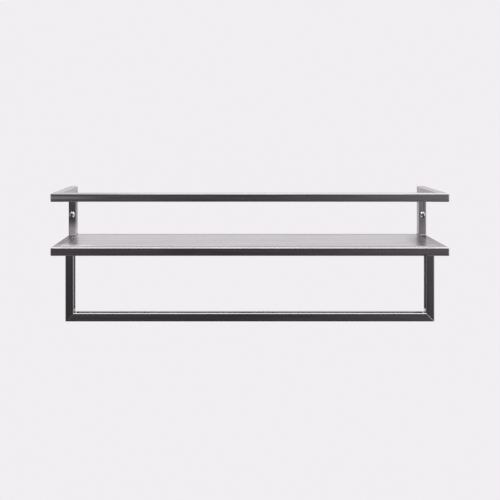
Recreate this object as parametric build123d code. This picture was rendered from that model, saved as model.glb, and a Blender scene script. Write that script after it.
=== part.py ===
from build123d import *
import os

# A wall rack welded from one square steel tube: a shelf with a gallery rail above it and a
# towel bar below it. Millimetres. X runs along the shelf, to the right as seen from the room,
# Y runs towards the wall and Z up. The origin is on the wall, midway between the two screws.

# The whole rack
overall_width = 600
overall_depth = 120
rail_gap = 68.5  # clear height between the shelf and the rail
towel_gap = 86  # clear height between the shelf's frame and the towel bar
leg_inset = 22.5  # from the end of the shelf to the outer face of a towel leg

# The half-inch square tube that every bar is cut from
tube_size = 12.7
tube_wall = 1.2
tube_corner = 1.6  # radius of the tube's four long edges
bore_corner = 0.5

# The shelf's sheet
plate_thickness = 2

# Corners and welds
ground_corner = 1.6  # radius that an outer corner has after its weld is ground off
seam_fill_share = 0.66  # how far a flush weld fills a groove, as a share of tube_corner
bead_leg = 1.5  # how far the small weld in an inside corner reaches along each of its two sides
bead_hollow_share = 0.4  # how far out the middle of its face stands, as a share of bead_leg

# The wall screws
head_diameter = 10
head_height = 3.2
head_rim = 0.7  # straight part of the head's edge
neck_diameter = 3.6
thread_diameter = 5
thread_length = 14
point_length = 4
point_diameter = 0.8
screw_clearance = 0.25  # between the thread and the hole that it goes through
recess_span = 5.2
recess_width = 1.3
recess_depth = 1.7
recess_turns = {"left": 20, "right": 65}  # degrees: where each screw stopped turning

overrun = 1  # how far every cut runs past what it cuts

# Places that follow from the sizes
half_width = overall_width / 2
front = -overall_depth
shelf_top = -rail_gap / 2
shelf_bottom = shelf_top - tube_size
rail_bottom = shelf_top + rail_gap
rail_top = rail_bottom + tube_size
towel_top = shelf_bottom - towel_gap
towel_bottom = towel_top - tube_size
leg_outside = half_width - leg_inset
seam = seam_fill_share * tube_corner
arm_middle = tube_size / 2 - half_width  # X of the left arm's and the left upright's middle
arm_inside = tube_size - half_width  # X of their inner faces
flat_side = tube_size - 2 * tube_corner  # width of a tube's flat faces, between its rounded edges

left, right = Vector(-1, 0, 0), Vector(1, 0, 0)
roomward, wallward = Vector(0, -1, 0), Vector(0, 1, 0)
down, up = Vector(0, 0, -1), Vector(0, 0, 1)


def block(low, high):
    """A box between two opposite corners."""
    size = Vector(*high) - Vector(*low)
    middle = (Vector(*high) + Vector(*low)) / 2
    return Pos(middle) * Box(size.X, size.Y, size.Z)


def rounded_block(low, high, along, radius):
    """A box between two opposite corners, with its four edges along one axis rounded."""
    box = block(low, high)
    return fillet(box.edges().filter_by(along), radius)


def bar(low, high, along):
    """The outside of a square tube between two opposite corners."""
    return rounded_block(low, high, along, tube_corner)


def mitre(shape, corner, leaving, other):
    """Cut a bar at 45 degrees through a corner. It leaves the corner one way, its neighbour the other."""
    return split(shape, bisect_by=Plane(origin=corner, z_dir=leaving - other), keep=Keep.TOP)


def hollow(shape, along):
    """Take the bore out of a bar."""
    box, run = shape.bounding_box(), along.direction
    across = Vector(1, 1, 1) - run
    low = box.min + across * tube_wall - run * overrun
    high = box.max - across * tube_wall + run * overrun
    return shape - rounded_block(low, high, along, bore_corner)


def mirrored(shape):
    """The same piece at the other end of the rack."""
    return mirror(shape, about=Plane.YZ)


def both_ends(shapes):
    """Like pieces at the left and right ends of the rack, as one group."""
    return Compound([*shapes, *[mirrored(shape) for shape in shapes]])


def shelf_bars():
    """The outsides of the shelf's four bars, mitred at the corners, which are ground round."""
    outline = rounded_block(
        (-half_width, front, shelf_bottom - overrun),
        (half_width, 0, shelf_top + overrun),
        Axis.Z,
        ground_corner,
    )
    front_left, front_right = (-half_width, front, shelf_top), (half_width, front, shelf_top)
    back_left, back_right = (-half_width, 0, shelf_top), (half_width, 0, shelf_top)
    front_bar = bar((-half_width, front, shelf_bottom), (half_width, front + tube_size, shelf_top), Axis.X)
    front_bar = mitre(front_bar, front_left, right, wallward)
    front_bar = mitre(front_bar, front_right, left, wallward)
    back_bar = bar((-half_width, -tube_size, shelf_bottom), (half_width, 0, shelf_top), Axis.X)
    back_bar = mitre(back_bar, back_left, right, roomward)
    back_bar = mitre(back_bar, back_right, left, roomward)
    side_bar = bar((-half_width, front, shelf_bottom), (arm_inside, 0, shelf_top), Axis.Y)
    side_bar = mitre(side_bar, front_left, wallward, right)
    side_bar = mitre(side_bar, back_left, roomward, right)
    return front_bar & outline, back_bar & outline, side_bar & outline


def shelf_plate():
    """The sheet, set between the four bars with its top level with theirs."""
    inside = half_width - tube_size
    return block(
        (-inside, front + tube_size, shelf_top - plate_thickness),
        (inside, -tube_size, shelf_top),
    )


def seam_ring():
    """A band round the sheet, as wide and deep as the weld fills the groove along each bar."""
    inside = half_width - tube_size
    low, high = (-inside, front + tube_size), (inside, -tube_size)
    band = block(
        (low[0] - seam, low[1] - seam, shelf_top - seam),
        (high[0] + seam, high[1] + seam, shelf_top),
    )
    return band - block((*low, shelf_top - seam - overrun), (*high, shelf_top + overrun))


def bead(middle, one, other, length):
    """A small weld in an inside corner, whose two sides run one way and the other way."""
    belly = bead_hollow_share * bead_leg
    sides = Polyline((0, bead_leg), (0, 0), (bead_leg, 0))
    face = make_face([sides, ThreePointArc((bead_leg, 0), (belly, belly), (0, bead_leg))])
    start = Plane(middle, x_dir=one, z_dir=one.cross(other))
    return extrude(start * face, length / 2, both=True)


def rail_frame():
    """The outsides of the rail, the left arm and the left upright, mitred to each other."""
    rail_outline = rounded_block(
        (-half_width, front, rail_bottom - overrun),
        (half_width, 2 * ground_corner, rail_top + overrun),
        Axis.Z,
        ground_corner,
    )
    side_outline = rounded_block(
        (-half_width - overrun, front - 2 * ground_corner, shelf_top - 2 * ground_corner),
        (arm_inside + overrun, 0, rail_top),
        Axis.X,
        ground_corner,
    )
    front_left, front_right = (-half_width, front, rail_top), (half_width, front, rail_top)
    back_left = (-half_width, 0, rail_top)
    rail = bar((-half_width, front, rail_bottom), (half_width, front + tube_size, rail_top), Axis.X)
    rail = mitre(rail, front_left, right, wallward)
    rail = mitre(rail, front_right, left, wallward)
    arm = bar((-half_width, front, rail_bottom), (arm_inside, 0, rail_top), Axis.Y)
    arm = mitre(arm, front_left, wallward, right)
    arm = mitre(arm, back_left, roomward, down)
    upright = bar((-half_width, -tube_size, shelf_top), (arm_inside, 0, rail_top), Axis.Z)
    upright = mitre(upright, back_left, down, roomward)
    return rail & rail_outline, arm & rail_outline & side_outline, upright & side_outline


def screw_hole():
    """The hole through the left upright, halfway between the shelf and the rail."""
    radius = thread_diameter / 2 + screw_clearance
    drill = extrude(Plane.XZ * Circle(radius), tube_size + overrun, both=True)
    return Pos(arm_middle, 0, 0) * drill


def towel_frame():
    """The outsides of the towel bar and the left leg, mitred at the lower corners."""
    outline = rounded_block(
        (-leg_outside, front - overrun, towel_bottom),
        (leg_outside, front + tube_size + overrun, shelf_bottom + 2 * ground_corner),
        Axis.Y,
        ground_corner,
    )
    low_left, low_right = (-leg_outside, front, towel_bottom), (leg_outside, front, towel_bottom)
    towel_bar = bar(low_left, (leg_outside, front + tube_size, towel_top), Axis.X)
    towel_bar = mitre(towel_bar, low_left, right, up)
    towel_bar = mitre(towel_bar, low_right, left, up)
    leg = bar(low_left, (tube_size - leg_outside, front + tube_size, shelf_bottom), Axis.Z)
    leg = mitre(leg, low_left, up, right)
    return towel_bar & outline, leg & outline


def foot_welds(side_bar, back_bar):
    """The weld at the left upright's foot: flush outside, a small bead in front and inside."""
    low = (-half_width, -tube_size, shelf_top - seam)
    stub = rounded_block(low, (arm_inside, 0, shelf_top), Axis.Z, tube_corner)
    flush = stub - side_bar - back_bar - seam_ring()
    in_front = bead((arm_middle, -tube_size, shelf_top), roomward, up, flat_side)
    inside = bead((arm_inside, -tube_size / 2, shelf_top), right, up, flat_side)
    return [flush.solids().sort_by(SortBy.VOLUME)[-1], in_front, inside]


def shelf_corner_welds():
    """Beads in the left front and left back corners of the shelf's frame, under the sheet."""
    top, bottom = shelf_top - plate_thickness, shelf_bottom + tube_corner
    height, length = (top + bottom) / 2, top - bottom
    return [
        bead((arm_inside, front + tube_size, height), right, wallward, length),
        bead((arm_inside, -tube_size, height), right, roomward, length),
    ]


def leg_welds(front_bar):
    """The flush welds that fill the front bar's lower edges where the left leg meets it."""
    low = (-leg_outside, front, shelf_bottom)
    high = (tube_size - leg_outside, front + tube_size, shelf_bottom + seam)
    stub = rounded_block(low, high, Axis.Z, tube_corner)
    return (stub - front_bar).solids()


def wall_screw(turn):
    """A dome-headed screw along Y, with the underside of its head at zero."""
    head, neck, thread = head_diameter / 2, neck_diameter / 2, thread_diameter / 2
    thread_start, thread_end = tube_size, tube_size + thread_length
    dome = TangentArc((0, -head_height), (head, -head_rim), tangent=(1, 0))
    edge = Polyline(
        (head, -head_rim),
        (head, 0),
        (neck, 0),
        (neck, thread_start),
        (thread, thread_start),
        (thread, thread_end),
        (point_diameter / 2, thread_end + point_length),
        (0, thread_end + point_length),
        (0, -head_height),
    )
    screw = revolve(make_face([dome, edge]), Axis.Y)
    slot_top, slot_floor = -head_height - overrun, recess_depth - head_height
    for angle in (turn, turn + 90):
        slot = block(
            (-recess_span / 2, slot_top, -recess_width / 2),
            (recess_span / 2, slot_floor, recess_width / 2),
        )
        screw -= Rot(0, angle, 0) * slot
    return screw


def rack():
    """Every piece of the rack, by name."""
    front_bar, back_bar, side_bar = shelf_bars()
    rail, arm, upright = rail_frame()
    towel_bar, leg = towel_frame()
    arm_tube, side_tube, leg_tube = hollow(arm, Axis.Y), hollow(side_bar, Axis.Y), hollow(leg, Axis.Z)
    upright_tube = hollow(upright, Axis.Z) - screw_hole()
    rail_middle = rail_bottom + tube_size / 2
    rail_corner = bead((arm_inside, front + tube_size, rail_middle), right, wallward, flat_side)
    arm_corner = bead((arm_middle, -tube_size, rail_bottom), roomward, down, flat_side)
    shelf_frame = [front_bar, back_bar, side_bar, mirrored(side_bar)]
    return {
        "top_rail": hollow(rail, Axis.X),
        "rail_arm_left": arm_tube,
        "rail_arm_right": mirrored(arm_tube),
        "upright_left": upright_tube,
        "upright_right": mirrored(upright_tube),
        "shelf_front_bar": hollow(front_bar, Axis.X),
        "shelf_back_bar": hollow(back_bar, Axis.X),
        "shelf_side_bar_left": side_tube,
        "shelf_side_bar_right": mirrored(side_tube),
        "shelf_plate": shelf_plate(),
        "towel_bar": hollow(towel_bar, Axis.X),
        "towel_leg_left": leg_tube,
        "towel_leg_right": mirrored(leg_tube),
        "wall_screw_left": Pos(arm_middle, -tube_size, 0) * wall_screw(recess_turns["left"]),
        "wall_screw_right": Pos(-arm_middle, -tube_size, 0) * wall_screw(recess_turns["right"]),
        "plate_seam_weld": seam_ring() - shelf_frame,
        "rail_corner_welds": both_ends([rail_corner]),
        "arm_corner_welds": both_ends([arm_corner]),
        "upright_foot_welds": both_ends(foot_welds(side_bar, back_bar)),
        "shelf_corner_welds": both_ends(shelf_corner_welds()),
        "leg_top_welds": both_ends(leg_welds(front_bar)),
    }


os.makedirs("parts", exist_ok=True)
for name, piece in rack().items():
    export_step(piece, f"parts/{name}.step")
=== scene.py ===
import math
import random

import bpy
from mathutils import Matrix, Vector


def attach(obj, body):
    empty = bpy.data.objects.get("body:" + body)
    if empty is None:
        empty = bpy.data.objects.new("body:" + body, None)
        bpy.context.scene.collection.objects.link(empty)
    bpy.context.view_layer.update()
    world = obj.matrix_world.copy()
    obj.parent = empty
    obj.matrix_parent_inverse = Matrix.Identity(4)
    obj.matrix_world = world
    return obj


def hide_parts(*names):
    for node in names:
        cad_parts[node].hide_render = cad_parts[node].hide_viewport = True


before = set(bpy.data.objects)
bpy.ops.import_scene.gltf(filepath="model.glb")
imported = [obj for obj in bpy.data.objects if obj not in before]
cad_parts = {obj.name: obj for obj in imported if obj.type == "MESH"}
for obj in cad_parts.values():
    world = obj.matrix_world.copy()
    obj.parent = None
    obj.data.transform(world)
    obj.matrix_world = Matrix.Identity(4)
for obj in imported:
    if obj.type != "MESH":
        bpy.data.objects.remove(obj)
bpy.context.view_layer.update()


# The gallery rail: square steel tube with rounded edges, brushed along its length until it
# turned a dark satin. Its ends are mitred, welded to the arms and ground flush, so only a fine
# line of brighter metal shows where two tubes meet. Handling has rubbed the edges bright.

mm = 0.001
half_width = 300 * mm
depth = 120 * mm
tube_size = 12.7 * mm
rail_bottom = 34.25 * mm
rail_top = rail_bottom + tube_size
rail_tone = (0.42, 0.402, 0.412)
# This light tone is real wear on edges and scratches, and also the colour of some painted highlights.
rubbed_and_highlight_tone = (0.72, 0.7, 0.715, 1)
seam_tone = (0.8, 0.78, 0.79, 1)
tube_roughness = 0.2


def add(tree, kind, sockets, **settings):
    """Add a shader node. A socket's value is a number, a vector, or the output that feeds it."""
    made = tree.nodes.new("ShaderNode" + kind)
    for name, value in settings.items():
        setattr(made, name, value)
    inputs = [socket for socket in made.inputs if socket.enabled]
    for name, value in sockets.items():
        socket = inputs[name] if isinstance(name, int) else [s for s in inputs if s.name == name][0]
        if isinstance(value, bpy.types.NodeSocket):
            tree.links.new(value, socket)
        else:
            socket.default_value = value
    return [socket for socket in made.outputs if socket.enabled][0]


def spread(tree, value, least, most, low=0.3, high=0.7):
    """Stretch the middle of a noise over a range of values."""
    sockets = {"Value": value, "From Min": low, "From Max": high, "To Min": least, "To Max": most}
    return add(tree, "MapRange", sockets)


def fade(tree, value, start, end, first=0, last=1):
    """A soft step from the first level to the last one as a value goes from start to end."""
    sockets = {"Value": value, "From Min": start, "From Max": end, "To Min": first, "To Max": last}
    return add(tree, "MapRange", sockets, interpolation_type="SMOOTHSTEP")


def calculate(tree, operation, one, other=None):
    """One step of arithmetic on one value or two."""
    sockets = {0: one} if other is None else {0: one, 1: other}
    return add(tree, "Math", sockets, operation=operation)


def tinted(tree, share, one, other):
    """One colour, turning into the other as the share goes from 0 to 1."""
    return add(tree, "Mix", {"Factor": share, "A": one, "B": other}, data_type="RGBA")


def parts_of(tree, vector):
    """The X, Y and Z parts of a vector."""
    parts = tree.nodes.new("ShaderNodeSeparateXYZ")
    tree.links.new(vector, parts.inputs["Vector"])
    return parts.outputs


def raised(tree, height, distance, relief=None):
    """Relief of a given height, on top of any that is there already."""
    sockets = {"Height": height, "Distance": distance, "Strength": 1}
    if relief:
        sockets["Normal"] = relief
    return add(tree, "Bump", sockets)


def new_metal(name):
    """A bare metal: the material, its nodes, its shader, and the outputs that say where a point is."""
    material = bpy.data.materials.new(name)
    material.use_nodes = True
    tree = material.node_tree
    shader = tree.nodes["Principled BSDF"]
    shader.inputs["Metallic"].default_value = 1
    return material, tree, shader, tree.nodes.new("ShaderNodeTexCoord").outputs


def give_finish(tree, shader, colour, roughness, relief):
    """Feed a colour, a roughness and a relief to a shader."""
    tree.links.new(colour, shader.inputs["Base Color"])
    tree.links.new(roughness, shader.inputs["Roughness"])
    tree.links.new(relief, shader.inputs["Normal"])


def brush_lines(tree, place, along, width, length, detail=2):
    """Noise from 0 to 1 drawn out along one axis, like the lines that a brush leaves."""
    scale = [1 / length if axis == along else 1 / width for axis in "XYZ"]
    drawn = add(tree, "Mapping", {"Vector": place, "Scale": scale})
    return add(tree, "TexNoise", {"Vector": drawn, "Scale": 1, "Detail": detail})


def rounded_edges(tree, facing):
    """1 on a tube's rounded edges and 0 on its flat faces, from where the surface faces."""
    still_flat = 0.985
    all_round = 0.84
    parts = parts_of(tree, add(tree, "VectorMath", {0: facing}, operation="ABSOLUTE"))
    widest = calculate(tree, "MAXIMUM", parts["X"], parts["Y"])
    widest = calculate(tree, "MAXIMUM", widest, parts["Z"])
    return fade(tree, widest, still_flat, all_round)


def near_seams(tree, place, seams, width, left_share):
    """1 on the mitre seams and 0 beside them, or the left share on the left half's seams.

    A seam is given as a plane at the right end, and stands for the one at the left end too.
    """
    bright_core = 0.35 * width
    middle_zone = 0.1
    parts = parts_of(tree, place)
    sideways = calculate(tree, "ABSOLUTE", parts["X"])
    mirrored = add(tree, "CombineXYZ", {"X": sideways, "Y": parts["Y"], "Z": parts["Z"]})
    on_seam = 0
    for normal, offset in seams:
        across = Vector(normal)
        reach = add(tree, "VectorMath", {0: mirrored, 1: across.normalized()}, operation="DOT_PRODUCT")
        reach = calculate(tree, "SUBTRACT", reach, offset / across.length)
        reach = calculate(tree, "ABSOLUTE", reach)
        on_seam = calculate(tree, "MAXIMUM", on_seam, fade(tree, reach, width, bright_core))
    share = fade(tree, parts["X"], 0, middle_zone, first=left_share)
    return calculate(tree, "MULTIPLY", on_seam, share)


def patch_share(tree, place, middle, reach):
    """1 in the middle of a soft oval patch and 0 outside it."""
    full_within = 0.25
    off = add(tree, "VectorMath", {0: place, 1: middle}, operation="SUBTRACT")
    off = add(tree, "VectorMath", {0: off, 1: reach}, operation="DIVIDE")
    off = add(tree, "VectorMath", {0: off}, operation="LENGTH")
    return fade(tree, off, 1, full_within)


# What the brush leaves: the width and the length of each kind of line, how deep the lines are and
# how much duller or glossier they make the steel. A seam's groove stays between two ground edges.
fine_line = (0.16 * mm, 14 * mm)
broad_band = (2.2 * mm, 90 * mm)
cloudy_patch = (16 * mm, 60 * mm)
thin_scratch = (0.35 * mm, 28 * mm)
scratch_start = 0.66
scratch_full = 0.74
scratch_share = 0.3
fine_depth = 0.003 * mm
band_depth = 0.008 * mm
groove_depth = 0.12 * mm
groove_width = 0.45 * mm
fine_change = 0.05
cloud_change = 0.04
edge_polish = 0.05
seam_roughness = 0.3
least_rubbed = 0.65
line_pull = 0.6
quarter_turn = 0.25


def brushed_steel(
    name,
    along,
    tone,
    roughness,
    seams=(),
    seam_width=groove_width,
    left_seam_light=1,
    rubbed=1,
    patches=(),
    contrast=0.15,
):
    """Dark steel brushed along one axis.

    A patch is painted light or shade over the steel: its middle, its reach, its share, its colour
    and its added roughness.
    """
    material, tree, shader, spot = new_metal(name)
    place = spot["Object"]
    fine = brush_lines(tree, place, along, *fine_line, detail=3)
    broad = brush_lines(tree, place, along, *broad_band)
    cloudy = brush_lines(tree, place, along, *cloudy_patch)
    scratch = brush_lines(tree, place, along, *thin_scratch, detail=1)
    scratch = fade(tree, scratch, scratch_start, scratch_full)

    darker = [(1 - contrast) * part for part in tone] + [1]
    lighter = [(1 + contrast) * part for part in tone] + [1]
    colour = tinted(tree, spread(tree, broad, 0, 1), darker, lighter)
    colour = tinted(tree, calculate(tree, "MULTIPLY", scratch, scratch_share), colour, rubbed_and_highlight_tone)
    satin = spread(tree, fine, -fine_change, fine_change)
    satin = calculate(tree, "ADD", satin, spread(tree, cloudy, -cloud_change, cloud_change))
    satin = calculate(tree, "ADD", satin, roughness)
    worn = spread(tree, cloudy, least_rubbed * rubbed, rubbed)
    worn = calculate(tree, "MULTIPLY", rounded_edges(tree, spot["Normal"]), worn)
    colour = tinted(tree, worn, colour, rubbed_and_highlight_tone)
    satin = calculate(tree, "SUBTRACT", satin, calculate(tree, "MULTIPLY", worn, edge_polish))
    # Patches paint light and shade over the steel's own colour.
    for middle, reach, share, patch_tone, rougher in patches:
        patch = patch_share(tree, place, middle, reach)
        colour = tinted(tree, calculate(tree, "MULTIPLY", patch, share), colour, patch_tone)
        satin = calculate(tree, "ADD", satin, calculate(tree, "MULTIPLY", patch, rougher))
    relief = raised(tree, broad, band_depth)
    relief = raised(tree, fine, fine_depth, relief)
    if seams:
        on_seam = near_seams(tree, place, seams, seam_width, left_seam_light)
        colour = tinted(tree, on_seam, colour, seam_tone)
        satin = calculate(tree, "ADD", satin, calculate(tree, "MULTIPLY", on_seam, seam_roughness))
        relief = raised(tree, calculate(tree, "SUBTRACT", 1, on_seam), groove_depth, relief)
    give_finish(tree, shader, colour, satin, relief)

    shader.inputs["Anisotropic"].default_value = line_pull
    shader.inputs["Anisotropic Rotation"].default_value = quarter_turn
    run = {axis: 1.0 if axis == along else 0.0 for axis in "XYZ"}
    tree.links.new(add(tree, "CombineXYZ", run), shader.inputs["Tangent"])
    return material


def dress(material, *names):
    """Give a material to pieces of the frame."""
    for name in names:
        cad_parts[name].material_slots[0].material = material


# Each seam is the plane of a mitre cut: its normal and how far it is from the origin.
front_seam = ((1, 1, 0), half_width - depth)
back_seam = ((1, -1, 0), half_width)
# The rail's top is painted darker at its left end: painted shade where the top edge's highlight fades. A
# pale streak along the left end's front face is a painted highlight. The bright tone below is the colour
# of all the painted highlights.
painted_shade_tone = (0.36, 0.345, 0.35, 1)
painted_highlight_tone = (0.92, 0.9, 0.92, 1)
rail_end_shade = ((-half_width, -depth, rail_top), (190 * mm, 20 * mm, 5 * mm), 1, painted_shade_tone, 0)
highlight_streak_middle = (-half_width, -depth, rail_bottom + 6.3 * mm)
highlight_streak = (highlight_streak_middle, (95 * mm, 9 * mm, 3 * mm), 0.9, painted_highlight_tone, 0.05)
rail_wear_and_light = {"rubbed": 0.85, "patches": [rail_end_shade, highlight_streak]}
rail_steel = brushed_steel("rail_steel", "X", rail_tone, tube_roughness, [front_seam], **rail_wear_and_light)
dress(rail_steel, "top_rail")


# The two arms carry the rail back to the wall. They are the same tube, brushed from front to
# back, mitred to the rail in front and to the uprights behind.

arm_tone = (0.365, 0.351, 0.36)
top_seam = ((0, -1, 1), rail_top)
arm_steel = brushed_steel("arm_steel", "Y", arm_tone, tube_roughness, [front_seam, top_seam])
dress(arm_steel, "rail_arm_left", "rail_arm_right")


# A short bead is left where the rail's back meets each arm, because a grinder can't reach into
# the corner. It is a row of overlapping ripples of weld metal, brushed but not ground.

bead_length = 10 * mm
ripple_count = 10
ripple_sink = 1 * mm
ripple_radius = 2.9 * mm
ripple_half_length = 1 * mm
ripple_lean = math.radians(24)
lean_share = 0.9
ripple_shift = lean_share * ripple_radius * math.sin(ripple_lean)
end_reach = 1.2 * ripple_half_length
ripple_row = bead_length - 2 * end_reach
ripple_wander = 0.06 * mm
ripple_growth = 0.04
bead_voxel = 0.09 * mm
bead_crease = math.radians(50)
cut_snap = 0.001 * mm
weld_tone = (0.34, 0.328, 0.33)
weld_roughness = 0.34
rng = random.Random(7)


def choose(piece, test):
    """Select the parts of a mesh whose points all pass a test, and go on in edit mode."""
    bpy.ops.object.mode_set(mode="OBJECT")
    points = piece.data.vertices
    for point in points:
        point.select = test(point.co)
    for part in (*piece.data.edges, *piece.data.polygons):
        part.select = all(points[index].select for index in part.vertices)
    bpy.ops.object.mode_set(mode="EDIT")


def choose_all(piece):
    """Select the whole of a mesh and go on in edit mode."""
    choose(piece, lambda place: True)


def only(piece):
    """Select one piece and nothing else."""
    bpy.ops.object.select_all(action="DESELECT")
    piece.select_set(True)
    bpy.context.view_layer.objects.active = piece


def settle(piece):
    """Move a piece's place, turn and size into its mesh."""
    only(piece)
    bpy.ops.object.transform_apply(location=True, rotation=True, scale=True)


def apply_modifier(piece, kind, **settings):
    """Give a piece one modifier and make its result the mesh."""
    only(piece)
    bpy.ops.object.modifier_add(type=kind)
    modifier = piece.modifiers[-1]
    for name, value in settings.items():
        setattr(modifier, name, value)
    bpy.ops.object.modifier_apply(modifier=modifier.name)


def placed_copy(original, name, matrix):
    """A copy with its own mesh, put in its place and left with its object at the origin."""
    only(original)
    bpy.ops.object.duplicate()
    piece = bpy.context.object
    piece.name = name
    piece.matrix_world = matrix
    settle(piece)
    return piece


def cast_steel(name, tone, roughness):
    """Weld metal as it froze, mottled and with a faint straw tint here and there."""
    cloud_size = 2.5 * mm
    grain_size = 0.25 * mm
    grain_depth = 0.006 * mm
    grain_change = 0.08
    dark_share = 0.72
    light_share = 1.25
    straw_shares = (1.1, 1, 0.86)
    most_straw = 0.5
    material, tree, shader, spot = new_metal(name)
    place = spot["Object"]
    clouds = add(tree, "TexNoise", {"Vector": place, "Scale": 1 / cloud_size, "Detail": 3})
    grains = add(tree, "TexNoise", {"Vector": place, "Scale": 1 / grain_size, "Detail": 4})
    darker = [dark_share * part for part in tone] + [1]
    lighter = [light_share * part for part in tone] + [1]
    straw = [share * part for share, part in zip(straw_shares, tone)] + [1]
    colour = tinted(tree, spread(tree, grains, 0, 1), darker, lighter)
    colour = tinted(tree, spread(tree, clouds, 0, most_straw, low=0.5), colour, straw)
    satin = calculate(tree, "ADD", spread(tree, grains, -grain_change, grain_change), roughness)
    give_finish(tree, shader, colour, satin, raised(tree, grains, grain_depth))
    return material


ripples = []
lean = Matrix.Rotation(ripple_lean, 3, Vector((-1, 1, 0))).to_euler()
for step in range(ripple_count):
    travel = (step / (ripple_count - 1) - 0.5) * ripple_row + ripple_shift
    wander = rng.uniform(-ripple_wander, ripple_wander)
    growth = rng.uniform(1 - ripple_growth, 1 + ripple_growth)
    bpy.ops.object.select_all(action="DESELECT")
    bpy.ops.mesh.primitive_uv_sphere_add(
        segments=40,
        ring_count=20,
        radius=1,
        location=(-ripple_sink, -ripple_sink, travel + wander),
        rotation=lean,
        scale=(ripple_radius * growth, ripple_radius, ripple_half_length),
    )
    ripples.append(bpy.context.object)
for ripple in ripples:
    ripple.select_set(True)
bpy.ops.object.join()
bead = bpy.context.object
bead.name = "weld_bead"
settle(bead)
apply_modifier(bead, "REMESH", mode="VOXEL", voxel_size=bead_voxel)
apply_modifier(bead, "SMOOTH", factor=0.5, iterations=2)
for side in ((1, 0, 0), (0, 1, 0)):
    choose_all(bead)
    bpy.ops.mesh.bisect(
        plane_co=(0, 0, 0), plane_no=side, clear_inner=True, use_fill=True, threshold=cut_snap
    )
choose_all(bead)
bpy.ops.mesh.normals_make_consistent(inside=False)
bpy.ops.object.mode_set(mode="OBJECT")
bpy.ops.object.shade_smooth_by_angle(angle=bead_crease)

weld_steel = cast_steel("weld_steel", weld_tone, weld_roughness)
bead.data.materials.clear()
bead.data.materials.append(weld_steel)


def lay_bead(name, node, middle, one, other):
    """A bead in an inside corner, whose two sides run one way and the other way."""
    sides = (Vector(one), Vector(other), Vector(one).cross(Vector(other)))
    turn = Matrix(sides).transposed().to_4x4()
    piece = placed_copy(bead, name, Matrix.Translation(middle) @ turn)
    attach(piece, "root")
    if node:
        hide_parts(node)


# Seen from the room, inward is to the right at the left end and to the left at the right end.
ends = {"left": 1, "right": -1}
arm_inside = half_width - tube_size
rail_back = tube_size - depth
rail_middle = rail_bottom + tube_size / 2
for end, inward in ends.items():
    corner = (-inward * arm_inside, rail_back, rail_middle)
    lay_bead(f"rail_corner_bead_{end}", "rail_corner_welds", corner, (inward, 0, 0), (0, 1, 0))


# The uprights stand against the wall and carry the screws. Each is mitred to its arm and
# welded to the shelf at its foot, where the steel is rougher and painted lighter: painted light
# reflected up from the bright shelf. The left one is painted darker than the right one, with less
# rubbed edges, as painted shade for the dim left side, and its foot is painted lighter still.

shelf_top = -34.25 * mm
arm_middle = half_width - tube_size / 2
upright_roughness = 0.27
foot_roughness = 0.35
foot_reach = (30 * mm, 30 * mm, 28 * mm)
# The two uprights are lit and shaded copies: painted tones, edge rubbing and painted light at the foot.
upright_lit_and_shaded_tones = {"left": (0.29, 0.278, 0.286), "right": (0.47, 0.452, 0.462)}
upright_rubbing_and_shade = {"left": (0.1, 0.15), "right": (0.5, 0.3)}
foot_painted_light = {"left": (0.95, painted_highlight_tone), "right": (0.3, rubbed_and_highlight_tone)}
for end, inward in ends.items():
    rubbed, contrast = upright_rubbing_and_shade[end]
    share, foot_light_tone = foot_painted_light[end]
    foot = (-inward * arm_middle, -tube_size, shelf_top)
    foot_light_patch = (foot, foot_reach, share, foot_light_tone, foot_roughness * share)
    upright_wear_and_light = {"rubbed": rubbed, "patches": [foot_light_patch], "contrast": contrast}
    name = f"upright_steel_{end}"
    upright_steel = brushed_steel(name, "Z", upright_lit_and_shaded_tones[end], upright_roughness, [top_seam], **upright_wear_and_light)
    dress(upright_steel, f"upright_{end}")


# A bead closes the inside corner under each arm, where it meets the upright. It is laid like the
# ones behind the rail and left as it is, out of the grinder's reach.

for end, inward in ends.items():
    corner = (-inward * arm_middle, -tube_size, rail_bottom)
    lay_bead(f"arm_corner_bead_{end}", "arm_corner_welds", corner, (0, -1, 0), (0, 0, -1))


# The shelf's frame: a front bar, a back bar and two side bars of the same tube, mitred at the
# corners, welded and ground. Each bar is brushed along its own length. The front bar has two
# painted highlights near its front edge, where it is also rougher, and the side bars have painted
# highlights toward their front ends. The side bars are painted darker, with a dimmer grazing sheen:
# painted shade.

bar_tone = (0.37, 0.356, 0.361)
# The side bars' darker tone and dimmer grazing sheen are painted shade.
shaded_side_bar_tone = (0.2, 0.192, 0.197)
side_bar_shade_tint = (0.78, 0.765, 0.78, 1)
# Two painted highlights on the front bar's top, near its front edge.
front_highlight_line = -113 * mm
front_bar_highlights = [
    ((to_side, front_highlight_line, shelf_top), (24 * mm, 12 * mm, 3 * mm), 0.5, painted_highlight_tone, 0.3)
    for to_side in (-267 * mm, 260 * mm)
]
for row, seam, spots in (("front", front_seam, front_bar_highlights), ("back", back_seam, [])):
    bar_steel = brushed_steel(f"shelf_{row}_steel", "X", bar_tone, tube_roughness, [seam], patches=spots)
    dress(bar_steel, f"shelf_{row}_bar")
# Painted highlights on the side bars toward their front ends.
side_highlight_left = ((-half_width, -depth, shelf_top), (30 * mm, 40 * mm, 5 * mm), 0.6, rubbed_and_highlight_tone, 0)
side_highlight_right = ((half_width, -depth, shelf_top), (30 * mm, 110 * mm, 5 * mm), 0.5, rubbed_and_highlight_tone, 0)
side_bar_steel = brushed_steel(
    "side_bar_steel",
    "Y",
    shaded_side_bar_tone,
    tube_roughness,
    [front_seam, back_seam],
    patches=[side_highlight_left, side_highlight_right],
)
side_bar_shader = side_bar_steel.node_tree.nodes["Principled BSDF"]
side_bar_shader.inputs["Specular Tint"].default_value = side_bar_shade_tint
dress(side_bar_steel, "shelf_side_bar_left", "shelf_side_bar_right")


# Under the sheet a bead closes each of the frame's four inside corners. It fills the height
# between the sheet's underside and the bars' rounded lower edge, and isn't ground.

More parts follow.
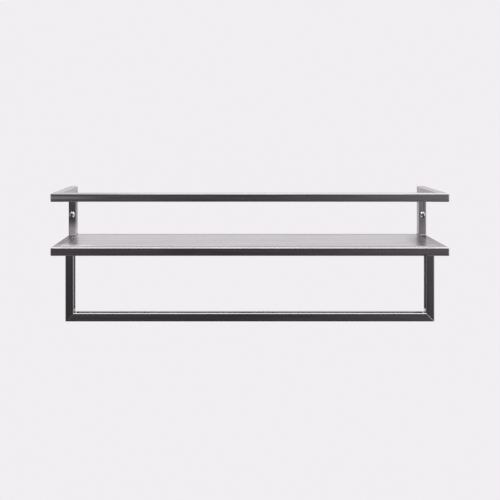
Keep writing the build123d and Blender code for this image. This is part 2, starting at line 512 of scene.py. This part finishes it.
plate_thickness = 2 * mm
tube_corner = 1.6 * mm
bead_height = (shelf_top - plate_thickness + shelf_top - tube_size + tube_corner) / 2
for end, inward in ends.items():
    for row, bar_face, towards in (("front", rail_back, 1), ("back", -tube_size, -1)):
        corner = (-inward * arm_inside, bar_face, bead_height)
        name = f"shelf_corner_bead_{row}_{end}"
        lay_bead(name, "shelf_corner_welds", corner, (inward, 0, 0), (0, towards, 0))


# The sheet fills the frame, its top level with the bars. It is brighter than they are, with long
# streaks of brushing, and the weld round it is ground and brushed with it. Its ends are painted
# darker: painted reflections of the dark uprights. Its left front corner has a painted highlight
# and is a little rougher.

plate_tone = (0.56, 0.547, 0.566)
plate_roughness = 0.29
# Painted reflections of the uprights darken the sheet's ends, and a painted highlight lies at its left
# front corner.
plate_shade_tone = (0.2, 0.192, 0.197, 1)
plate_shade_left = (1 * mm - arm_inside, -62 * mm, shelf_top)
plate_shade_right = (arm_inside, -65 * mm, shelf_top)
plate_highlight_middle = (20 * mm - arm_inside, rail_back, shelf_top)
plate_light_patches = [
    (plate_shade_left, (10 * mm, 50 * mm, 5 * mm), 0.75, plate_shade_tone, 0),
    (plate_shade_right, (40 * mm, 70 * mm, 5 * mm), 0.6, plate_shade_tone, 0),
    (plate_highlight_middle, (40 * mm, 18 * mm, 5 * mm), 0.6, painted_highlight_tone, 0.15),
]
plate_steel = brushed_steel("plate_steel", "X", plate_tone, plate_roughness, patches=plate_light_patches)
dress(plate_steel, "shelf_plate", "plate_seam_weld")


# The weld at each upright's foot is ground flush at the wall side and outside, and keeps a
# bead in front and a bead inside.

dress(weld_steel, "upright_foot_welds")
for end, inward in ends.items():
    in_front = (-inward * arm_middle, -tube_size, shelf_top)
    inside = (-inward * arm_inside, -tube_size / 2, shelf_top)
    lay_bead(f"foot_bead_front_{end}", None, in_front, (0, -1, 0), (0, 0, 1))
    lay_bead(f"foot_bead_inside_{end}", None, inside, (inward, 0, 0), (0, 0, 1))


# The towel frame: a bar and two legs of the same tube, mitred at the lower corners and welded
# to the front bar's underside, where flush welds fill its rounded edges. Towels have polished
# the bar. The right leg has a painted reflection, bright along its inner back edge, and the
# left mitre lines are painted fainter than the right ones: painted shade.

towel_bottom = -145.65 * mm
leg_inset = 22.5 * mm
leg_outside = half_width - leg_inset
low_seam = ((1, 0, 1), leg_outside + towel_bottom)
# The left mitre lines show only a share of the seam's brightness: painted shade.
low_seams = {"seam_width": 0.7 * mm, "left_seam_light": 0.3}
towel_tone = (0.42, 0.404, 0.41)
towel_roughness = 0.13
towel_steel = brushed_steel(
    "towel_bar_steel", "X", towel_tone, towel_roughness, [low_seam], **low_seams
)
dress(towel_steel, "towel_bar")
leg_tone = (0.31, 0.298, 0.303)
# A painted reflection, bright along the right leg's inner back edge.
leg_reflection_middle = (leg_outside - tube_size, 0.9 * tube_size - depth, towel_bottom + 55 * mm)
leg_painted_reflection = (leg_reflection_middle, (3 * mm, 9 * mm, 140 * mm), 1, painted_highlight_tone, 0)
leg_wear_and_light = {"rubbed": 0.4, "patches": [leg_painted_reflection]}
leg_steel = brushed_steel(
    "towel_leg_steel", "Z", leg_tone, tube_roughness, [low_seam], **low_seams, **leg_wear_and_light
)
dress(leg_steel, "towel_leg_left", "towel_leg_right")
leg_weld_tone = (0.5, 0.48, 0.49)
leg_weld_roughness = 0.25
leg_weld_steel = brushed_steel("leg_weld_steel", "X", leg_weld_tone, leg_weld_roughness)
dress(leg_weld_steel, "leg_top_welds")


# The two wall screws have a domed head with a cross recess, a smooth neck that passes through the
# tube and a coarse wood thread that runs out at both ends. The wire was cold headed, the thread
# rolled on, and the head polished.

head_radius = 5 * mm
head_height = 3.2 * mm
head_rim = 0.7 * mm
rim_margin = 0.01 * mm
dome_rise = head_height - head_rim
dome_radius = (head_radius**2 + dome_rise**2) / (2 * dome_rise)
dome_middle = head_height - dome_radius
neck_radius = 1.8 * mm
neck_length = tube_size
neck_step = 0.2 * mm
core_radius = 1.7 * mm
thread_length = 11 * mm
point_length = 7 * mm
tip_radius = 0.4 * mm
recess_span = 5.2 * mm
recess_width = 1.3 * mm
recess_depth = 1.7 * mm
recess_taper = 0.62
cutter_rise = 0.15 * mm
sliver = 0.02 * mm
edge_round = 0.07 * mm
edge_sliver = 0.002 * mm
sharp_edge = math.radians(33)
screw_crease = math.radians(30)
screw_turns = {"left": math.radians(20), "right": math.radians(65)}


def draw_out(length, share):
    """Extrude the selected ring down the screw's axis and narrow it to a share of its size."""
    bpy.ops.mesh.extrude_region_move(TRANSFORM_OT_translate={"value": (0, 0, -length)})
    bpy.ops.transform.resize(value=(share, share, 1), center_override=(0, 0, 0))


def narrow(piece, low, high, share):
    """Narrow one slice of a piece about the screw's axis."""
    choose(piece, lambda place: low <= place.z < high)
    bpy.ops.transform.resize(value=(share, share, 1), center_override=(0, 0, 0))


def merge_slivers(piece, distance):
    """Merge points that lie so close together that only slivers of faces are between them."""
    choose_all(piece)
    bpy.ops.mesh.remove_doubles(threshold=distance)
    bpy.ops.object.mode_set(mode="OBJECT")


bpy.ops.object.select_all(action="DESELECT")
bpy.ops.mesh.primitive_uv_sphere_add(
    segments=96, ring_count=96, radius=dome_radius, location=(0, 0, dome_middle)
)
screw = bpy.context.object
screw.name = "screw"
settle(screw)
choose_all(screw)
bpy.ops.mesh.bisect(
    plane_co=(0, 0, head_rim), plane_no=(0, 0, 1), clear_inner=True, threshold=cut_snap
)
choose(screw, lambda place: place.z < head_rim + rim_margin)
draw_out(head_rim, 1)
draw_out(0, neck_radius / head_radius)
draw_out(neck_length, 1)
draw_out(neck_step, core_radius / neck_radius)
draw_out(thread_length - neck_step, 1)
draw_out(point_length, tip_radius / core_radius)
bpy.ops.mesh.edge_face_add()
choose_all(screw)
bpy.ops.mesh.normals_make_consistent(inside=False)
bpy.ops.object.mode_set(mode="OBJECT")

for turn in (0, 90):
    bpy.ops.object.select_all(action="DESELECT")
    bpy.ops.mesh.primitive_cube_add(
        size=1,
        location=(0, 0, head_height - recess_depth / 2 + cutter_rise),
        rotation=(0, 0, math.radians(turn)),
        scale=(recess_span, recess_width, recess_depth + 2 * cutter_rise),
    )
    cutter = bpy.context.object
    settle(cutter)
    choose(cutter, lambda place: place.z < head_height - recess_depth / 2)
    bpy.ops.transform.resize(value=(recess_taper, recess_taper, 1), center_override=(0, 0, 0))
    bpy.ops.object.mode_set(mode="OBJECT")
    apply_modifier(screw, "BOOLEAN", operation="DIFFERENCE", solver="EXACT", object=cutter)
    bpy.data.objects.remove(cutter)
merge_slivers(screw, sliver)
apply_modifier(
    screw, "BEVEL", width=edge_round, segments=2, limit_method="ANGLE", angle_limit=sharp_edge
)
merge_slivers(screw, edge_sliver)

# The thread is one flat triangle wound up round the core, on from the very point. It grows with
# the point, and is pressed down again where it meets the neck.
thread_radius = 2.5 * mm
thread_foot = 1.6 * mm
thread_half_width = 0.5 * mm
thread_pitch = 1.8 * mm
thread_turns = 9
thread_steps = 36
thread_depth = thread_radius - thread_foot
thread_end = -(neck_length + thread_length + point_length)
triangle_side = thread_depth / math.sin(math.radians(60))
thread_flatness = 2 * thread_half_width / triangle_side
profile_radius = thread_depth / 1.5
profile_middle = (thread_foot + thread_depth / 3, 0, thread_end + thread_pitch / 2)
profile_turn = Matrix(((0, 1, 0), (0, 0, 1), (1, 0, 0))).to_euler()
point_slices = 20
point_slice = point_length / point_slices
run_out_slices = 6
run_out_slice = 0.15 * mm
run_out_share = 0.66
bpy.ops.object.select_all(action="DESELECT")
bpy.ops.mesh.primitive_circle_add(
    vertices=3, radius=profile_radius, location=profile_middle, rotation=profile_turn
)
thread = bpy.context.object
settle(thread)
choose_all(thread)
bpy.ops.transform.resize(value=(1, 1, thread_flatness), center_override=profile_middle)
bpy.ops.object.mode_set(mode="OBJECT")
apply_modifier(
    thread,
    "SCREW",
    axis="Z",
    angle=math.tau,
    screw_offset=thread_pitch,
    iterations=thread_turns,
    steps=thread_steps,
    render_steps=thread_steps,
)
choose_all(thread)
bpy.ops.mesh.fill_holes(sides=3)
bpy.ops.mesh.normals_make_consistent(inside=False)
for step in range(point_slices):
    low = thread_end + (step - 0.5) * point_slice
    grown = tip_radius + (thread_radius - tip_radius) * (step + 0.5) / point_slices
    narrow(thread, low, low + point_slice, grown / thread_radius)
for step in range(run_out_slices):
    low = -neck_length - run_out_slice * (step + 1)
    high = low + run_out_slice if step else 0
    narrow(thread, low, high, run_out_share + (1 - run_out_share) * (step + 0.5) / run_out_slices)
bpy.ops.object.mode_set(mode="OBJECT")
only(screw)
thread.select_set(True)
bpy.ops.object.join()
bpy.ops.object.shade_smooth_by_angle(angle=screw_crease)


def turned_steel(name):
    """Bright steel with the fine rings of turning and stains, painted darker and rougher in the recess
    and under the head: painted shade.
    """
    ring_size = 0.12 * mm
    ring_depth = 0.002 * mm
    ring_tones = ((0.6, 0.59, 0.6, 1), (0.74, 0.73, 0.74, 1))
    least_satin = 0.1
    most_satin = 0.2
    stain_size = 2 * mm
    stained_share = 0.35
    stained_tone = (0.42, 0.41, 0.42, 1)
    hollow_shade_tone = (0.12, 0.115, 0.115, 1)
    hollow_roughness = 0.25
    inside_share = 0.8
    behind_share = 0.4
    recess_floor = -(neck_length + head_height - recess_depth)
    hollow_shade_start = recess_floor - 1 * mm
    hollow_shade_full = recess_floor - 0.3 * mm
    hollow_shade_edge = 3 * mm
    hollow_shade_core = 2.7 * mm
    behind_start = -neck_length - 0.4 * mm
    material, tree, shader, spot = new_metal(name)
    place = spot["Object"]
    parts = parts_of(tree, place)
    across = calculate(tree, "SUBTRACT", calculate(tree, "ABSOLUTE", parts["X"]), arm_middle)
    from_axis = add(tree, "CombineXYZ", {"X": across, "Y": 0, "Z": parts["Z"]})
    from_axis = add(tree, "VectorMath", {0: from_axis}, operation="LENGTH")
    ringed = add(tree, "CombineXYZ", {"X": from_axis, "Y": parts["Y"], "Z": 0})
    rings = add(tree, "TexNoise", {"Vector": ringed, "Scale": 1 / ring_size, "Detail": 2})
    stains = add(tree, "TexNoise", {"Vector": place, "Scale": 1 / stain_size, "Detail": 3})
    colour = tinted(tree, spread(tree, rings, 0, 1), *ring_tones)
    colour = tinted(tree, spread(tree, stains, 0, stained_share), colour, stained_tone)
    # Painted shade in the cross recess and under the head, where it meets the tube.
    deep = fade(tree, parts["Y"], hollow_shade_start, hollow_shade_full)
    inside = calculate(tree, "MULTIPLY", deep, fade(tree, from_axis, hollow_shade_edge, hollow_shade_core))
    inside = calculate(tree, "MULTIPLY", inside, inside_share)
    behind = fade(tree, parts["Y"], behind_start, -neck_length)
    behind = calculate(tree, "MULTIPLY", behind, behind_share)
    hollow_shade = calculate(tree, "MAXIMUM", inside, behind)
    colour = tinted(tree, hollow_shade, colour, hollow_shade_tone)
    satin = spread(tree, rings, least_satin, most_satin)
    satin = calculate(tree, "ADD", satin, calculate(tree, "MULTIPLY", hollow_shade, hollow_roughness))
    give_finish(tree, shader, colour, satin, raised(tree, rings, ring_depth))
    return material


screw.data.materials.clear()
screw.data.materials.append(turned_steel("screw_steel"))
for end, inward in ends.items():
    turn = Matrix.Rotation(-screw_turns[end], 4, "Z")
    turn = Matrix.Rotation(math.radians(90), 4, "X") @ turn
    place = Matrix.Translation((-inward * arm_middle, -tube_size, 0))
    piece = placed_copy(screw, f"screw_{end}", place @ turn)
    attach(piece, "root")
    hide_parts(f"wall_screw_{end}")


# The studio: the rack hangs high over a pale floor, in a room that is bright behind it and
# dim in front of it. A wide softbox lights it from above and in front, and thin dark flags
# stand close behind the towel frame.

pale = (0.8837, 0.8592, 0.8837, 1)
floor_level = -0.95
floor_size = 12
floor_middle = 4.5


def glowing(name, strength):
    """A paint that shows the pale tone of the backdrop whatever the light."""
    paint = bpy.data.materials.new(name)
    paint.use_nodes = True
    paint.node_tree.nodes.clear()
    glow = add(paint.node_tree, "Emission", {"Color": pale, "Strength": strength})
    coat = paint.node_tree.nodes.new("ShaderNodeOutputMaterial")
    paint.node_tree.links.new(glow, coat.inputs["Surface"])
    return paint


bpy.ops.object.select_all(action="DESELECT")
bpy.ops.mesh.primitive_plane_add(size=floor_size, location=(0, floor_middle, floor_level))
floor = bpy.context.object
floor.name = "studio_floor"
floor.data.materials.append(glowing("pale_floor", 1))
floor.visible_glossy = False
floor.visible_diffuse = False

world = bpy.data.worlds.new("studio_room")
bpy.context.scene.world = world
world.use_nodes = True
tree = world.node_tree


def blend(share, one, other):
    """One brightness of the room, turning into the other as the share goes from 0 to 1."""
    return add(tree, "Mix", {"Factor": share, "A": one, "B": other}, data_type="FLOAT")


# The steel mirrors the room, so its brightness is set by direction. A direction's parts run
# from -1 to 1. In front of the rack the right side glows and the left side hardly does.
to_right, to_wall, to_top = parts_of(tree, tree.nodes.new("ShaderNodeTexCoord").outputs["Generated"])
sideways = calculate(tree, "ABSOLUTE", to_right)
right_level = 0.9
left_level = 0.15
low_share = 0.3
dim_level = 0.08
upper_level = 0.05
raised_at_sides = 0.3
right_glow = fade(tree, to_right, 0, 1, last=right_level)
left_glow = fade(tree, to_right, 0, -0.5, last=left_level)
height = calculate(tree, "ADD", to_top, fade(tree, sideways, 0.4, 0.9, last=raised_at_sides))
above_floor = fade(tree, height, -0.24, -0.06, first=low_share)
room = calculate(tree, "MULTIPLY", calculate(tree, "ADD", right_glow, left_glow), above_floor)
room = calculate(tree, "ADD", room, dim_level)
room = calculate(tree, "ADD", room, fade(tree, to_top, -0.3, 0, last=upper_level))

# The wall is brightest in its middle, the ceiling is bright over the wall and dim over the room,
# and what lies below the shelf's level is dark. All of it has a faint warm pink tint.
wall_middle = 0.88
wall_ends = 0.4
ceiling_over_room = 0.3
ceiling_over_wall = 1.2
below_level = 0.05
pink = (1, 0.975, 1)
wall = fade(tree, sideways, 0.35, 0.85, first=wall_middle, last=wall_ends)
ceiling = fade(tree, to_wall, -0.1, 0.35, first=ceiling_over_room, last=ceiling_over_wall)
level = blend(fade(tree, to_wall, -0.25, 0.3), room, wall)
level = blend(fade(tree, to_top, 0.3, 0.75), level, ceiling)
level = blend(fade(tree, height, -0.2, -0.6), level, below_level)
tint = add(tree, "VectorMath", {0: pink, "Scale": level}, operation="SCALE")
is_camera = tree.nodes.new("ShaderNodeLightPath").outputs["Is Camera Ray"]
tree.links.new(tinted(tree, is_camera, tint, pale), tree.nodes["Background"].inputs["Color"])

# The softbox hangs in front of the rack and above it, and draws the bright line on each top edge.
softbox_size = 2.4
bpy.ops.object.light_add(type="AREA", location=(0.1, -1.1, 1.6))
softbox = bpy.context.object
softbox.name = "overhead_softbox"
softbox.data.shape = "RECTANGLE"
softbox.data.size = softbox_size
softbox.data.size_y = softbox_size
softbox.data.energy = 33
softbox.visible_camera = False

# Three thin dark flags close behind the towel frame draw a dark line along the bar's flat top
# and one down each leg's inner side. They are painted shade: dimly glowing sheets, seen only in
# reflections, that stand for the shaded wall under the shelf. The right one is wider, because
# that leg is darker there.
flag_behind = 2.8 * mm
flag_beside_leg = 1.1 * mm
flag_above_bar = 2.65 * mm
leg_flag_drop = 0.2 * mm
shade_sheet_paint = glowing("shade_sheet_paint", 0.06)
flag_reach = leg_outside - tube_size - flag_beside_leg
flag_low = towel_bottom + tube_size + flag_above_bar
flag_high = shelf_top - tube_size
bar_flag_height = 1.9 * mm
bar_flag = ((0, flag_low + bar_flag_height / 2), (2 * flag_reach, bar_flag_height))
leg_flag_low = flag_low - leg_flag_drop
leg_flag_middle = (leg_flag_low + flag_high) / 2
leg_flag_widths = {"left": 3.7 * mm, "right": 10 * mm}
leg_flags = [
    ((-ends[end] * (flag_reach - width / 2), leg_flag_middle), (width, flag_high - leg_flag_low))
    for end, width in leg_flag_widths.items()
]
for (to_side, up), (flag_width, flag_height) in (bar_flag, *leg_flags):
    place = (to_side, rail_back + flag_behind, up)
    bpy.ops.mesh.primitive_plane_add(size=1, location=place, rotation=(math.radians(90), 0, 0))
    flag = bpy.context.object
    flag.name = "dark_flag"
    flag.dimensions = (flag_width, flag_height, 0)
    flag.data.materials.append(shade_sheet_paint)
    flag.visible_camera = False
    flag.visible_shadow = False

# The camera stands level, a little left of the middle and above the rail, with the rack placed
# in the picture by the lens shift.
camera_data = bpy.data.cameras.new("camera")
camera = bpy.data.objects.new("camera", camera_data)
bpy.context.scene.collection.objects.link(camera)
camera_data.sensor_width = 36
camera_data.lens = 44.39
camera_data.shift_x = 0.0472
camera_data.shift_y = -0.2472
camera.location = (-0.0353, -1.046, 0.14775)
camera.rotation_euler = (math.radians(90), 0, 0)
bpy.context.scene.camera = camera
bpy.context.scene.view_settings.view_transform = "Standard"

bpy.data.objects.remove(bead)
bpy.data.objects.remove(screw)
